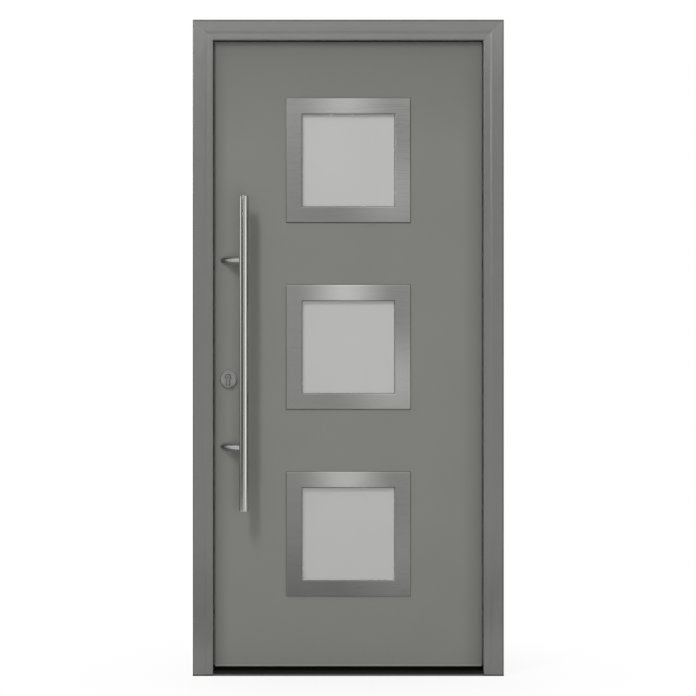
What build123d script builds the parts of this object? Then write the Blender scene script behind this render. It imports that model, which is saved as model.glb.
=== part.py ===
from build123d import *
import os
from math import sqrt

# Front door with its frame: a moulded frame with thermal breaks, a flush leaf with three square
# windows, a long pull bar outside, a lever inside, a key cylinder and a multi-point lock.
# Millimetres. X to the right seen from outside, Y inwards, Z up, origin under the frame's middle.

# Frame
frame_width = 1000.0
frame_height = 2110.0
frame_depth = 80.0
foot_height = 4.0
lip_width = 65.0
rebate_width = 53.0
outer_shell_depth = 40.0
break_depth = 14.0
frame_wall = 2.0

# Moulding on the frame's face: rounded edge, flat, slope, valley and bead
outer_edge_radius = 3.0
flat_width = 34.0
slope_width = 13.0
valley_depth = 1.8
crest_depth = 1.6
bead_edge_depth = 2.1
bead_edge_radius = 2.5
crest_place_share = 0.5

# Thermal breaks and corner cleats
break_thickness = 2.5
break_inset = 6.0
cleat_leg = 110.0
cleat_width = 30.0
cleat_fit = 0.2

# Wall fixings through the inner shells of the jambs
fixing_hole = 10.5
fixing_inset = 550.0

# Threshold
tread_height = 15.0
tread_thickness = 3.0
nose_thickness = 3.0
nose_bevel = 4.0
tread_rise = 2.0
upstand_width = 5.0
base_wall = 3.0

# Gaps between leaf and frame
leaf_recess = 20.0
lip_gap = 4.5
rebate_gap = 5.0
seal_gap = 5.0
sill_gap = 5.0
gasket_clear = 0.3
gasket_width = 10.0
gasket_inset = 1.0
sweep_height = 6.0
sweep_clear = 0.5
sweep_inset = 6.0
sweep_end_clear = 8.0

# Leaf
outer_skin_thickness = 3.0
inner_skin_thickness = 2.0
stile_width = 100.0
leaf_wall = 2.5

# Windows
window_low_margin = 222.0
window_top_margin = 181.5
trim_size = 400.0
glass_view = 300.0
trim_thickness = 4.0
trim_edge_radius = 1.5
sleeve_wall = 3.0
pane_size = 330.0
pane_clear = 0.8
glass_recess = 7.0
outer_pane_thickness = 6.0
middle_pane_thickness = 4.0
inner_pane_thickness = 6.0
spacer_thickness = 14.0
spacer_inset = 2.0
spacer_width = 8.0
glazing_gasket_thickness = 1.0
glazing_gasket_width = 8.0

# Pull bar
bar_diameter = 32.0
bar_wall = 2.0
bar_length = 1008.0
bar_centre_height = 1036.0
bar_stand_off = 60.0
bar_cap_thickness = 3.0
bar_cap_edge = 1.2
bar_cap_spigot = 12.0
bar_cap_fit = 0.1
bracket_diameter = 28.0
bracket_spacing = 600.0
bracket_inset = 37.5
bolt_diameter = 8.0
bolt_depth = 10.0
bolt_clear = 0.4
bolt_head_diameter = 15.0
bolt_head_height = 4.0
bolt_head_edge = 1.5

# Lock
backset = 55.0
cylinder_drop = 76.0
follower_rise = 92.0
faceplate_width = 16.0
faceplate_thickness = 3.0
faceplate_overrun = 75.0
case_thickness = 14.0
case_wall = 1.5
case_behind_axis = 25.0
case_below_axis = 55.0
case_above_follower = 50.0
bolt_thickness = 10.0
deadbolt_height = 24.0
deadbolt_rise = 17.0
deadbolt_length = 60.0
bolt_throw = 20.0
latch_height = 24.0
latch_rise = 20.0
latch_reach = 12.0
latch_head_length = 14.0
latch_nose_run = 10.0
latch_nose_flat = 2.0
side_bolt_height = 20.0
side_bolt_length = 42.0
side_case_height = 62.0
side_case_depth = 50.0
side_bolt_inset = 290.0
slot_clear = 0.5
rod_width = 14.0
rod_thickness = 2.5
rod_clear = 0.25
rod_travel = 20.0
rod_overrun = 40.0

# Strikes on the lock jamb
strike_thickness = 2.0
strike_width = 20.0
strike_overrun = 25.0
strike_slot_clear = 1.0

# Key cylinder with its rosettes
profile_diameter = 17.0
profile_leg_width = 10.0
profile_leg_drop = 24.5
plug_diameter = 13.0
running_clear = 0.05
fit_clear = 0.3
cam_width = 10.0
cam_clear = 0.3
cam_diameter = 16.0
cam_reach = 15.0
cam_tongue_width = 8.0
cam_sweep_clear = 0.5
keyway_width = 2.2
keyway_height = 8.5
keyway_depth = 22.0
cylinder_proud = 5.0
rosette_diameter = 52.0
rosette_drop = 6.0
outer_rosette_thickness = 10.0
inner_rosette_thickness = 8.0
rosette_edge = 2.0

# Lever handle inside
lever_rosette_thickness = 9.0
lever_rosette_bore = 18.0
lever_gap = 0.4
lever_diameter = 18.0
lever_reach = 120.0
lever_stand_off = 50.0
lever_bend = 16.0
lever_end_edge = 2.0
spindle_width = 8.0
spindle_fit = 0.1
spindle_grip = 22.0
spindle_overrun = 4.0
hub_diameter = 18.0
arm_width = 6.0
arm_reach = 20.0
arm_clear = 1.0
lug_clear = 2.0
lug_width = 6.0
lug_drop = 11.0

# Barrel hinges
barrel_diameter = 20.0
barrel_gap = 1.5
hinge_length = 120.0
end_knuckle = 30.0
knuckle_gap = 0.4
pin_diameter = 12.0
pin_head_height = 4.0
pin_head_edge = 1.5
hinge_plate_start = 8.0
hinge_plate_width = 40.0
hinge_plate_thickness = 4.0
hinge_arm_run = 12.0
hinge_shoulder_share = 0.7
hinge_inset = 205.0

# Places worked out from the sizes above
half_width = frame_width / 2
front = -frame_depth / 2
back = frame_depth / 2
step_y = front + outer_shell_depth
inner_shell_y = step_y + break_depth

leaf_front = front + leaf_recess
leaf_back = back
leaf_step = step_y + seal_gap
leaf_thickness = leaf_back - leaf_front
core_front = leaf_front + outer_skin_thickness
core_back = leaf_back - inner_skin_thickness
leaf_out_x = half_width - lip_width - lip_gap
leaf_in_x = half_width - rebate_width - rebate_gap
leaf_overlap = leaf_in_x - leaf_out_x
leaf_out_top = frame_height - lip_width - lip_gap
leaf_in_top = leaf_out_top + leaf_overlap
leaf_in_low = tread_height + sweep_clear + sweep_height
leaf_out_low = leaf_in_low + leaf_overlap
upstand_height = leaf_out_low - sill_gap
core_x = leaf_in_x - stile_width
core_low = leaf_in_low + stile_width
core_top = leaf_in_top - stile_width

low_window = leaf_out_low + window_low_margin + trim_size / 2
top_window = leaf_out_top - window_top_margin - trim_size / 2
window_heights = {"lower": low_window, "middle": (low_window + top_window) / 2, "upper": top_window}
window_centres = [(0, height) for height in window_heights.values()]
pane_opening = pane_size + 2 * pane_clear
outer_pane_y = leaf_front + glass_recess
outer_spacer_y = outer_pane_y + outer_pane_thickness
middle_pane_y = outer_spacer_y + spacer_thickness
inner_spacer_y = middle_pane_y + middle_pane_thickness
inner_pane_y = inner_spacer_y + spacer_thickness
glass_back = inner_pane_y + inner_pane_thickness

bracket_x = bracket_inset - leaf_out_x
bar_x = bracket_x + bar_stand_off
bar_y = leaf_front - bar_stand_off
bar_low = bar_centre_height - bar_length / 2
bar_top = bar_centre_height + bar_length / 2
bracket_heights = {
    "lower": bar_centre_height - bracket_spacing / 2,
    "upper": bar_centre_height + bracket_spacing / 2,
}
bracket_centres = [(bracket_x, height) for height in bracket_heights.values()]

lock_x = backset - leaf_in_x
lock_y = (inner_shell_y + back) / 2
cylinder_height = bar_centre_height - cylinder_drop
follower_height = cylinder_height + follower_rise
deadbolt_height_centre = cylinder_height + deadbolt_rise + deadbolt_height / 2
latch_height_centre = follower_height + latch_rise
side_bolt_centres = (leaf_in_low + side_bolt_inset, leaf_in_top - side_bolt_inset)
rod_x = -leaf_in_x + faceplate_thickness + rod_clear
case_x = rod_x + rod_thickness + rod_clear
rosette_height = cylinder_height - rosette_drop
cylinder_front = leaf_front - outer_rosette_thickness - cylinder_proud
cylinder_back = leaf_back + inner_rosette_thickness + cylinder_proud
cam_front = lock_y - cam_width / 2
cam_back = lock_y + cam_width / 2
lever_start = leaf_back + lever_rosette_thickness + lever_gap
lever_y = leaf_back + lever_stand_off

hinge_x = leaf_in_x + rebate_gap / 2
hinge_y = back + barrel_gap + barrel_diameter / 2
low_hinge = leaf_in_low + hinge_inset
top_hinge = leaf_in_top - hinge_inset
hinge_heights = {"lower": low_hinge, "middle": (low_hinge + top_hinge) / 2, "upper": top_hinge}

fixing_centres = (fixing_inset, frame_height - fixing_inset)

# Every opening for a bolt: centre height and height of the bolt
lock_bolts = [
    (deadbolt_height_centre, deadbolt_height),
    (latch_height_centre, latch_height),
    (side_bolt_centres[0], side_bolt_height),
    (side_bolt_centres[1], side_bolt_height),
]

os.makedirs("parts", exist_ok=True)


def save(piece, name):
    """Label a finished piece and write it to its own file."""
    piece.part.label = name
    export_step(piece.part, f"parts/{name}.step")


def facing(y, x=0, z=0):
    """Plane across the door at depth y, seen from outside: X to the right, Z up."""
    return Plane(origin=(x, y, z), x_dir=(1, 0, 0), z_dir=(0, -1, 0))


def edge_plane(x):
    """Plane along the lock edge of the leaf, looking at the jamb, centred on the lock."""
    return Plane(origin=(x, lock_y, 0), x_dir=(0, -1, 0), z_dir=(-1, 0, 0))


def upright_plane(side, x, z):
    """Section plane of an upright: local X runs inwards from its outer edge, local Y is Y."""
    return Plane(origin=(side * x, 0, z), x_dir=(-side, 0, 0), z_dir=(0, 0, -side))


def cross_plane(x, z, up):
    """Section plane of a cross member above (up 1) or below (up -1) the opening."""
    return Plane(origin=(-up * x, 0, z), x_dir=(0, 0, -up), z_dir=(up, 0, 0))


def mitre_plane(side, x, z, up):
    """45-degree plane through a corner, facing from the upright to the cross member."""
    return Plane(origin=(side * x, 0, z), z_dir=(-side, 0, up))


def outer_shell_section(plane):
    """Hollow outer shell: rounded edge, flat face, S-slope into a shallow bead, and reveal."""
    valley = flat_width + slope_width
    crest = valley + (lip_width - valley) * crest_place_share
    with BuildSketch(plane) as section:
        with BuildLine():
            flat = Line((0, front), (flat_width, front))
            shoulder = TangentArc(
                flat @ 1, (flat_width + slope_width / 2, front + valley_depth / 2), tangent=flat % 1
            )
            cove = TangentArc(shoulder @ 1, (valley, front + valley_depth), tangent=shoulder % 1)
            bead = ThreePointArc(
                cove @ 1, (crest, front + crest_depth), (lip_width, front + bead_edge_depth)
            )
            Polyline(bead @ 1, (lip_width, step_y), (0, step_y), flat @ 0)
        make_face()
        fillet(section.vertices().group_by(Axis.X)[-1].sort_by(Axis.Y)[0], bead_edge_radius)
        fillet(section.vertices().group_by(Axis.X)[0].sort_by(Axis.Y)[0], outer_edge_radius)
        offset(amount=-frame_wall, kind=Kind.INTERSECTION, mode=Mode.SUBTRACT)
    return section.sketch


def inner_shell_section(plane):
    """Hollow rectangular inner shell behind the rebate."""
    with BuildSketch(plane) as section:
        with Locations((rebate_width / 2, lock_y)):
            Rectangle(rebate_width, back - inner_shell_y)
            Rectangle(
                rebate_width - 2 * frame_wall, back - inner_shell_y - 2 * frame_wall, mode=Mode.SUBTRACT
            )
    return section.sketch


def break_section(plane):
    """Two plastic strips that join the shells of one frame member."""
    with BuildSketch(plane) as section:
        strip_places = (break_inset, rebate_width - break_thickness)
        with Locations(*[(place, step_y) for place in strip_places]):
            Rectangle(break_thickness, break_depth, align=Align.MIN)
    return section.sketch


def leaf_section(plane):
    """Hollow stepped profile of a stile or rail; its step overlaps the frame's lip."""
    with BuildSketch(plane) as section:
        with BuildLine():
            Polyline(
                (leaf_overlap, core_front),
                (leaf_overlap, leaf_step),
                (0, leaf_step),
                (0, core_back),
                (stile_width, core_back),
                (stile_width, core_front),
                close=True,
            )
        make_face()
        offset(amount=-leaf_wall, kind=Kind.INTERSECTION, mode=Mode.SUBTRACT)
    return section.sketch


def cylinder_outline(clearance):
    """Key cylinder's profile: a round barrel with a narrow leg below it."""
    leg_width = profile_leg_width + 2 * clearance
    with BuildSketch() as outline:
        Circle(profile_diameter / 2 + clearance)
        with Locations((0, -profile_leg_drop + profile_leg_width / 2)):
            Circle(leg_width / 2)
            Rectangle(leg_width, profile_leg_drop - profile_leg_width / 2, align=(Align.CENTER, Align.MIN))
    return outline.sketch


def square_ring(outer, inner):
    """Square ring about the origin."""
    with BuildSketch() as ring:
        Rectangle(outer, outer)
        Rectangle(inner, inner, mode=Mode.SUBTRACT)
    return ring.sketch


def bolt_slots(clearance, travel=0):
    """Openings for the four bolts, lengthened downwards by the travel of a moving plate."""
    with BuildSketch() as slots:
        for height, size in lock_bolts:
            with Locations((0, height - travel / 2)):
                Rectangle(bolt_thickness + 2 * clearance, size + 2 * clearance + travel)
    return slots.sketch


jamb_height = frame_height - foot_height

# Jambs: an outer and an inner shell on each side, mitred at the top
for side, hand in ((-1, "left"), (1, "right")):
    with BuildPart() as jamb_outer:
        extrude(
            outer_shell_section(upright_plane(side, half_width, foot_height)),
            amount=jamb_height,
            dir=(0, 0, 1),
        )
        split(bisect_by=mitre_plane(side, half_width, frame_height, 1), keep=Keep.BOTTOM)
    save(jamb_outer, f"{hand}_jamb_outer")

    with BuildPart() as jamb_inner:
        extrude(
            inner_shell_section(upright_plane(side, half_width, foot_height)),
            amount=jamb_height,
            dir=(0, 0, 1),
        )
        split(bisect_by=mitre_plane(side, half_width, frame_height, 1), keep=Keep.BOTTOM)
        with BuildSketch(edge_plane(side * half_width)):
            with Locations(*[(0, height) for height in fixing_centres]):
                Circle(fixing_hole / 2)
        extrude(amount=side * rebate_width, mode=Mode.SUBTRACT)
        if side < 0:
            with BuildSketch(edge_plane(rebate_width - half_width)):
                add(bolt_slots(strike_slot_clear))
            extrude(amount=frame_wall, mode=Mode.SUBTRACT)
    save(jamb_inner, f"{hand}_jamb_inner")

# Head: the same two shells across the top
for section, name in ((outer_shell_section, "head_outer"), (inner_shell_section, "head_inner")):
    with BuildPart() as head:
        extrude(section(cross_plane(half_width, frame_height, 1)), amount=frame_width, dir=(1, 0, 0))
        for side in (-1, 1):
            split(bisect_by=mitre_plane(side, half_width, frame_height, 1), keep=Keep.TOP)
    save(head, name)

# Thermal breaks: two strips in each jamb and in the head
jamb_strips = []
for side in (-1, 1):
    with BuildPart() as break_jamb:
        extrude(
            break_section(upright_plane(side, half_width, foot_height)), amount=jamb_height, dir=(0, 0, 1)
        )
        split(bisect_by=mitre_plane(side, half_width, frame_height, 1), keep=Keep.BOTTOM)
    jamb_strips += break_jamb.part.solids()

with BuildPart() as thermal_breaks:
    extrude(break_section(cross_plane(half_width, frame_height, 1)), amount=frame_width, dir=(1, 0, 0))
    for side in (-1, 1):
        split(bisect_by=mitre_plane(side, half_width, frame_height, 1), keep=Keep.TOP)
thermal_breaks.part = Compound(jamb_strips + thermal_breaks.part.solids())
save(thermal_breaks, "thermal_breaks")

# Corner cleats: cast angles in both chambers of the two mitred corners
cleat_inset = frame_wall + cleat_fit
chamber_depths = (
    (front + valley_depth + cleat_inset, step_y - cleat_inset),
    (inner_shell_y + cleat_inset, back - cleat_inset),
)
with BuildPart() as corner_cleats:
    for depth_start, depth_end in chamber_depths:
        with BuildSketch(facing(depth_end)):
            for side in (-1, 1):
                outer_x = side * (half_width - cleat_inset)
                outer_z = frame_height - cleat_inset
                with BuildLine():
                    Polyline(
                        (outer_x, outer_z),
                        (outer_x, outer_z - cleat_leg),
                        (outer_x - side * cleat_width, outer_z - cleat_leg),
                        (outer_x - side * cleat_width, outer_z - cleat_width),
                        (outer_x - side * cleat_leg, outer_z - cleat_width),
                        (outer_x - side * cleat_leg, outer_z),
                        close=True,
                    )
                make_face()
        extrude(amount=depth_end - depth_start)
save(corner_cleats, "corner_cleats")

# Frame gasket: a rubber ring on the rebate step and along the threshold's upstand
gasket_x = half_width - lip_width + gasket_inset
gasket_top = frame_height - lip_width + gasket_inset
gasket_low = upstand_height - gasket_inset
with BuildPart() as frame_gasket:
    with BuildSketch(facing(leaf_step - gasket_clear)):
        with Locations((0, (gasket_low + gasket_top) / 2)):
            Rectangle(2 * (gasket_x + gasket_width), gasket_top - gasket_low + 2 * gasket_width)
            Rectangle(2 * gasket_x, gasket_top - gasket_low, mode=Mode.SUBTRACT)
    extrude(amount=leaf_step - gasket_clear - step_y)
save(frame_gasket, "frame_gasket")

# Feet: plastic plates under the jambs
with BuildPart() as jamb_feet:
    for side in (-1, 1):
        with BuildSketch(upright_plane(side, half_width, 0)):
            Rectangle(rebate_width, frame_depth, align=(Align.MIN, Align.CENTER))
            with Locations((0, front)):
                Rectangle(lip_width, outer_shell_depth, align=Align.MIN)
        extrude(amount=foot_height, dir=(0, 0, 1))
save(jamb_feet, "jamb_feet")

# Threshold: dark rail with bevelled nose, sloped tread and upstand, on a hollow plastic base
reveal_x = half_width - lip_width
rebate_x = half_width - rebate_width
sill_section = Plane(origin=(-rebate_x, 0, 0), x_dir=(0, 1, 0), z_dir=(1, 0, 0))
tread_low = tread_height - tread_thickness
upstand_y = step_y - upstand_width

with BuildPart() as threshold_rail:
    with BuildSketch(sill_section):
        with BuildLine():
            Polyline(
                (front, 0),
                (front, tread_height - nose_bevel),
                (front + nose_bevel, tread_height),
                (upstand_y, tread_height + tread_rise),
                (upstand_y, upstand_height),
                (step_y, upstand_height),
                (step_y, tread_height),
                (back, tread_height),
                (back, tread_low),
                (front + nose_thickness, tread_low),
                (front + nose_thickness, 0),
                close=True,
            )
        make_face()
    extrude(amount=2 * rebate_x)
    with BuildSketch(Plane.XY):
        for side in (-1, 1):
            with Locations((side * (reveal_x + rebate_x) / 2, front)):
                Rectangle(rebate_x - reveal_x, outer_shell_depth, align=(Align.CENTER, Align.MIN))
    extrude(amount=upstand_height, mode=Mode.SUBTRACT)
save(threshold_rail, "threshold_rail")

base_depth = frame_depth - nose_thickness
chamber_width = (base_depth - 3 * base_wall) / 2
with BuildPart() as threshold_base:
    with BuildSketch(sill_section):
        with Locations((front + nose_thickness, 0)):
            Rectangle(base_depth, tread_low, align=Align.MIN)
        for count in (0, 1):
            chamber_start = front + nose_thickness + base_wall + count * (chamber_width + base_wall)
            with Locations((chamber_start, base_wall)):
                Rectangle(chamber_width, tread_low - 2 * base_wall, align=Align.MIN, mode=Mode.SUBTRACT)
    extrude(amount=2 * rebate_x)
    with BuildSketch(Plane.XY):
        for side in (-1, 1):
            with Locations((side * (reveal_x + rebate_x) / 2, front)):
                Rectangle(rebate_x - reveal_x, outer_shell_depth, align=(Align.CENTER, Align.MIN))
    extrude(amount=tread_low, mode=Mode.SUBTRACT)
save(threshold_base, "threshold_base")

# Strikes: three slotted plates on the rebate wall of the lock jamb
main_strike_low = deadbolt_height_centre - deadbolt_height / 2 - strike_overrun
main_strike_top = latch_height_centre + latch_height / 2 + strike_overrun
strike_spans = [(main_strike_low, main_strike_top)]
for height in side_bolt_centres:
    strike_half = side_bolt_height / 2 + strike_overrun
    strike_spans.append((height - strike_half, height + strike_half))
with BuildPart() as strikes:
    with BuildSketch(edge_plane(strike_thickness - rebate_x)):
        for low, top in strike_spans:
            with Locations((0, (low + top) / 2)):
                Rectangle(strike_width, top - low)
        add(bolt_slots(strike_slot_clear), mode=Mode.SUBTRACT)
    extrude(amount=strike_thickness)
save(strikes, "strikes")

# Leaf skins: flat sheets with openings for the windows, the lock and the handle bolts
bolt_hole = bolt_diameter + 2 * bolt_clear
outer_sheet = (leaf_out_x, leaf_out_low, leaf_out_top)
inner_sheet = (leaf_in_x, leaf_in_low, leaf_in_top)
skins = (
    ("outer_skin", outer_sheet, leaf_front + outer_skin_thickness, outer_skin_thickness),
    ("inner_skin", inner_sheet, leaf_back, inner_skin_thickness),
)
for name, (sheet_x, sheet_low, sheet_top), sheet_back, thickness in skins:
    with BuildPart() as skin:
        with BuildSketch(facing(sheet_back)):
            with Locations((0, (sheet_low + sheet_top) / 2)):
                Rectangle(2 * sheet_x, sheet_top - sheet_low)
            with Locations(*window_centres):
                Rectangle(pane_opening, pane_opening, mode=Mode.SUBTRACT)
            with Locations(*bracket_centres):
                Circle(bolt_hole / 2, mode=Mode.SUBTRACT)
            with Locations((lock_x, cylinder_height)):
                add(cylinder_outline(fit_clear), mode=Mode.SUBTRACT)
            if name == "inner_skin":
                with Locations((lock_x, follower_height)):
                    Circle(lever_rosette_bore / 2, mode=Mode.SUBTRACT)
        extrude(amount=thickness)
    save(skin, name)

# Stiles: hollow uprights of the leaf; the lock stile is cut for the lock, the lever and the handle bolts
leaf_height = leaf_in_top - leaf_in_low
faceplate_low = side_bolt_centres[0] - faceplate_overrun
faceplate_top = side_bolt_centres[1] + faceplate_overrun
faceplate_length = faceplate_top - faceplate_low
faceplate_middle = (faceplate_low + faceplate_top) / 2
for side, name in ((-1, "lock_stile"), (1, "hinge_stile")):
    with BuildPart() as stile:
        extrude(
            leaf_section(upright_plane(side, leaf_in_x, leaf_in_low)), amount=leaf_height, dir=(0, 0, 1)
        )
        split(bisect_by=mitre_plane(side, leaf_in_x, leaf_in_top, 1), keep=Keep.BOTTOM)
        split(bisect_by=mitre_plane(side, leaf_in_x, leaf_in_low, -1), keep=Keep.BOTTOM)
        if side < 0:
            with BuildSketch(facing(core_back)):
                with Locations(*bracket_centres):
                    Circle(bolt_hole / 2)
                with Locations((lock_x, cylinder_height)):
                    add(cylinder_outline(fit_clear))
            extrude(amount=core_back - core_front, mode=Mode.SUBTRACT)
            with BuildSketch(facing(core_back)):
                with Locations((lock_x, follower_height)):
                    Circle(lever_rosette_bore / 2)
            extrude(amount=leaf_wall, mode=Mode.SUBTRACT)
            with BuildSketch(edge_plane(leaf_wall - leaf_in_x)):
                with Locations((0, faceplate_middle)):
                    Rectangle(faceplate_width + 2 * fit_clear, faceplate_length + 2 * fit_clear)
            extrude(amount=leaf_wall, mode=Mode.SUBTRACT)
    save(stile, name)

# Rails: the same profile across the top and the bottom of the leaf
for up, height, name in ((1, leaf_in_top, "top_rail"), (-1, leaf_in_low, "bottom_rail")):
    with BuildPart() as rail:
        extrude(leaf_section(cross_plane(leaf_in_x, height, up)), amount=2 * leaf_in_x, dir=(up, 0, 0))
        for side in (-1, 1):
            split(bisect_by=mitre_plane(side, leaf_in_x, height, up), keep=Keep.TOP)
    save(rail, name)

# Core: foam board between the skins, inside the stiles and rails
with BuildPart() as leaf_core:
    with BuildSketch(facing(core_back)):
        with Locations((0, (core_low + core_top) / 2)):
            Rectangle(2 * core_x, core_top - core_low)
        with Locations(*window_centres):
            Rectangle(pane_opening, pane_opening, mode=Mode.SUBTRACT)
    extrude(amount=core_back - core_front)
save(leaf_core, "leaf_core")

# Bottom seal: a rubber sweep with two lips under the leaf
sweep_start = leaf_step + sweep_inset
sweep_end = leaf_back - sweep_inset
sweep_depth = sweep_end - sweep_start
with BuildPart() as bottom_seal:
    with BuildSketch(Plane(origin=(-leaf_in_x + sweep_end_clear, 0, 0), x_dir=(0, 1, 0), z_dir=(1, 0, 0))):
        with Locations(((sweep_start + sweep_end) / 2, leaf_in_low)):
            Rectangle(sweep_depth, sweep_height, align=(Align.CENTER, Align.MAX))
        with Locations(((sweep_start + sweep_end) / 2, leaf_in_low - sweep_height)):
            Rectangle(
                sweep_depth / 2,
                sweep_height / 2,
                align=(Align.CENTER, Align.MIN),
                mode=Mode.SUBTRACT,
            )
    extrude(amount=2 * (leaf_in_x - sweep_end_clear))
save(bottom_seal, "bottom_seal")

# Window trims: rounded square flanges on both faces, each with a sleeve down to the glass
outer_sleeve_end = outer_pane_y - glazing_gasket_thickness
inner_sleeve_end = glass_back + glazing_gasket_thickness
sleeve_size = glass_view + 2 * sleeve_wall
for name, height in window_heights.items():
    with BuildPart() as trim:
        with BuildSketch(facing(leaf_front, z=height)):
            add(square_ring(trim_size, glass_view))
        extrude(amount=trim_thickness)
        fillet(trim.faces().sort_by(Axis.Y)[0].edges(), trim_edge_radius)
        with BuildSketch(facing(outer_sleeve_end, z=height)):
            add(square_ring(sleeve_size, glass_view))
        extrude(amount=outer_sleeve_end - leaf_front)
    save(trim, f"{name}_outer_trim")

with BuildPart() as inner_trims:
    for height in window_heights.values():
        with BuildSketch(facing(leaf_back + trim_thickness, z=height)):
            add(square_ring(trim_size, glass_view))
        extrude(amount=trim_thickness)
        with BuildSketch(facing(leaf_back, z=height)):
            add(square_ring(sleeve_size, glass_view))
        extrude(amount=leaf_back - inner_sleeve_end)
    fillet(inner_trims.faces().sort_by(Axis.Y)[-3:].edges(), trim_edge_radius)
save(inner_trims, "inner_trims")

# Panes: triple glazing, the outer pane frosted
panes = (
    ("outer_panes", outer_pane_y, outer_pane_thickness),
    ("middle_panes", middle_pane_y, middle_pane_thickness),
    ("inner_panes", inner_pane_y, inner_pane_thickness),
)
for name, pane_y, thickness in panes:
    with BuildPart() as pane:
        with BuildSketch(facing(pane_y + thickness)):
            with Locations(*window_centres):
                Rectangle(pane_size, pane_size)
        extrude(amount=thickness)
    save(pane, name)

# Spacers: hollow-edge bars between the panes, out of sight behind the trims
spacer_size = pane_size - 2 * spacer_inset
with BuildPart() as pane_spacers:
    for spacer_y in (outer_spacer_y, inner_spacer_y):
        with BuildSketch(facing(spacer_y + spacer_thickness)):
            with Locations(*window_centres):
                add(square_ring(spacer_size, spacer_size - 2 * spacer_width))
        extrude(amount=spacer_thickness)
save(pane_spacers, "pane_spacers")

# Glazing gaskets: flat rubber rings between glass and trims
with BuildPart() as glazing_gaskets:
    for gasket_y in (outer_pane_y, inner_sleeve_end):
        with BuildSketch(facing(gasket_y)):
            with Locations(*window_centres):
                add(square_ring(glass_view + 2 * glazing_gasket_width, glass_view))
        extrude(amount=glazing_gasket_thickness)
save(glazing_gaskets, "glazing_gaskets")

# Pull bar: stainless tube with pressed-in end caps
with BuildPart() as pull_bar:
    with BuildSketch(Plane.XY.offset(bar_low + bar_cap_thickness)):
        with Locations((bar_x, bar_y)):
            Circle(bar_diameter / 2)
            Circle(bar_diameter / 2 - bar_wall, mode=Mode.SUBTRACT)
    extrude(amount=bar_length - 2 * bar_cap_thickness)
save(pull_bar, "pull_bar")

with BuildPart() as bar_caps:
    for cap_base, up in ((bar_top - bar_cap_thickness, 1), (bar_low + bar_cap_thickness, -1)):
        with BuildSketch(Plane.XY.offset(cap_base)):
            with Locations((bar_x, bar_y)):
                Circle(bar_diameter / 2)
        extrude(amount=up * bar_cap_thickness)
        with BuildSketch(Plane.XY.offset(cap_base)):
            with Locations((bar_x, bar_y)):
                Circle(bar_diameter / 2 - bar_wall - bar_cap_fit)
        extrude(amount=-up * bar_cap_spigot)
    cap_ends = bar_caps.faces().filter_by(Axis.Z).sort_by(Axis.Z)
    chamfer(cap_ends[0].edges() + cap_ends[-1].edges(), bar_cap_edge)
save(bar_caps, "bar_caps")

# Brackets: round arms at 45 degrees, cut flat on the leaf and coped to the bar
arm_length = bar_stand_off * sqrt(2)
for name, height in bracket_heights.items():
    arm_axis = Plane(origin=(bracket_x, leaf_front, height), z_dir=(1, -1, 0))
    with BuildPart() as bracket:
        with BuildSketch(arm_axis.offset(-bracket_diameter)):
            Circle(bracket_diameter / 2)
        extrude(amount=bracket_diameter + arm_length)
        split(bisect_by=Plane(origin=(0, leaf_front, 0), z_dir=(0, 1, 0)), keep=Keep.BOTTOM)
        with BuildSketch(Plane.XY.offset(height - bracket_diameter)):
            with Locations((bar_x, bar_y)):
                Circle(bar_diameter / 2)
        extrude(amount=2 * bracket_diameter, mode=Mode.SUBTRACT)
        with BuildSketch(facing(leaf_front)):
            with Locations((bracket_x, height)):
                Circle(bolt_diameter / 2 + bolt_clear)
        extrude(amount=bolt_depth, mode=Mode.SUBTRACT)
    save(bracket, f"{name}_bracket")

# Handle bolts: through the leaf from inside, with low round heads
with BuildPart() as handle_bolts:
    with BuildSketch(facing(leaf_back)):
        with Locations(*bracket_centres):
            Circle(bolt_diameter / 2)
    extrude(amount=leaf_thickness + bolt_depth)
    with BuildSketch(facing(leaf_back + bolt_head_height)):
        with Locations(*bracket_centres):
            Circle(bolt_head_diameter / 2)
    extrude(amount=bolt_head_height)
    chamfer(handle_bolts.faces().sort_by(Axis.Y)[-2:].edges(), bolt_head_edge)
save(handle_bolts, "handle_bolts")

# Rosettes: round covers for the key cylinder on both faces of the leaf, and for the lever inside
cylinder_rosettes = (
    ("outer_rosette", leaf_front, outer_rosette_thickness, 0),
    ("inner_rosette", leaf_back + inner_rosette_thickness, inner_rosette_thickness, -1),
)
for name, rosette_back, thickness, visible_face in cylinder_rosettes:
    with BuildPart() as rosette:
        with BuildSketch(facing(rosette_back)):
            with Locations((lock_x, rosette_height)):
                Circle(rosette_diameter / 2)
        extrude(amount=thickness)
        chamfer(rosette.faces().sort_by(Axis.Y)[visible_face].edges(), rosette_edge)
        with BuildSketch(facing(rosette_back)):
            with Locations((lock_x, cylinder_height)):
                add(cylinder_outline(fit_clear))
        extrude(amount=thickness, mode=Mode.SUBTRACT)
    save(rosette, name)

with BuildPart() as lever_rosette:
    with BuildSketch(facing(leaf_back + lever_rosette_thickness)):
        with Locations((lock_x, follower_height)):
            Circle(rosette_diameter / 2)
    extrude(amount=lever_rosette_thickness)
    chamfer(lever_rosette.faces().sort_by(Axis.Y)[-1].edges(), rosette_edge)
    with BuildSketch(facing(leaf_back + lever_rosette_thickness)):
        with Locations((lock_x, follower_height)):
            Circle(lever_rosette_bore / 2)
    extrude(amount=lever_rosette_thickness, mode=Mode.SUBTRACT)
save(lever_rosette, "lever_rosette")

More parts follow.
